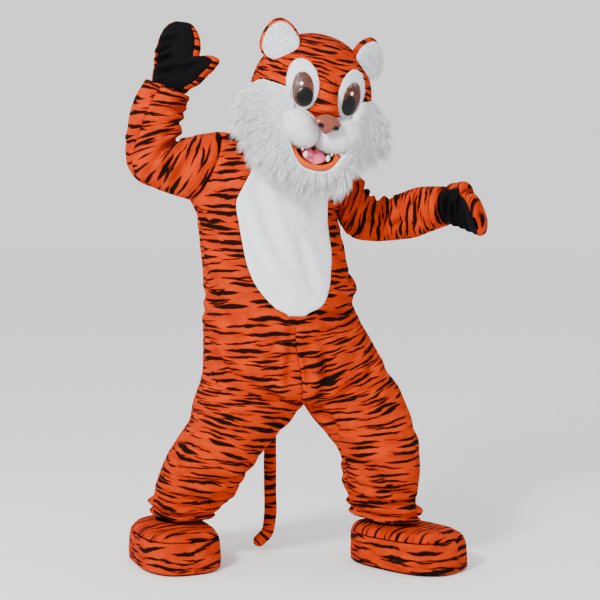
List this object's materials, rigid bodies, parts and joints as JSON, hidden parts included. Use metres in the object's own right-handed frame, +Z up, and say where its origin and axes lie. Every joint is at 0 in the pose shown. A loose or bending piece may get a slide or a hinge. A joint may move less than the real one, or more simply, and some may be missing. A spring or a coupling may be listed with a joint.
{
  "type": "mascot costume",
  "caption": "Hollow tiger mascot costume in striped plush: suit with a white belly and tail, dark-palmed mittens, boot covers, and a foam head with a fur ruff, posed waving.",
  "frame": {"origin": "The middle of the suit's neck opening, where the wearer's shoulders and neck hold the costume up. The floor is 1.462 m below it.", "axes": "+Z is up. The costume faces -Y. +X is the wearer's left."},
  "size_m": [1.2187, 0.5851, 1.85],
  "materials": {
    "plush_tiger": "short plush with printed tiger stripes",
    "plush_white": "short white plush",
    "plush_black": "short black plush",
    "fur_white": "long white fur",
    "sole": "dark rubber",
    "eye_brown": "glossy",
    "eye_black": "glossy",
    "eye_white": "glossy",
    "nose": "satin",
    "lip": "plain short plush",
    "mouth_lining": "felt",
    "tongue": "felt",
    "tooth": "satin"
  },
  "bodies": {
    "root": {"back_left": "plush_tiger", "back_right": "plush_tiger", "beard": "fur_white", "belly": "plush_white", "boot_left_side": "plush_tiger", "boot_left_sole": "sole", "boot_left_top": "plush_tiger", "boot_right_side": "plush_tiger", "boot_right_sole": "sole", "boot_right_top": "plush_tiger", "ear_left_back": "plush_tiger", "ear_left_inner": "plush_white", "ear_right_back": "plush_tiger", "ear_right_inner": "plush_white", "eye_left": "eye_brown", "eye_patch_left": "plush_white", "eye_patch_right": "plush_white", "eye_right": "eye_brown", "front_left": "plush_tiger", "front_right": "plush_tiger", "glint_left": "eye_white", "glint_right": "eye_white", "head_back": "plush_tiger", "head_front": "plush_tiger", "lip": "lip", "mitten_left_back": "plush_tiger", "mitten_left_palm": "plush_black", "mitten_right_back": "plush_tiger", "mitten_right_palm": "plush_black", "mouth_lining": "mouth_lining", "muzzle_left": "plush_white", "muzzle_right": "plush_white", "nose": "nose", "nose_bridge": "plush_tiger", "nostril_left": "eye_black", "nostril_right": "eye_black", "pupil_left": "eye_black", "pupil_right": "eye_black", "ruff_left": "fur_white", "ruff_right": "fur_white", "sleeve_left_back": "plush_tiger", "sleeve_left_front": "plush_tiger", "sleeve_right_back": "plush_tiger", "sleeve_right_front": "plush_tiger", "tail": "plush_tiger", "tongue": "tongue", "tooth_lower_left": "tooth", "tooth_lower_right": "tooth", "tooth_upper_left": "tooth", "tooth_upper_right": "tooth"}
  },
  "joints": []
}
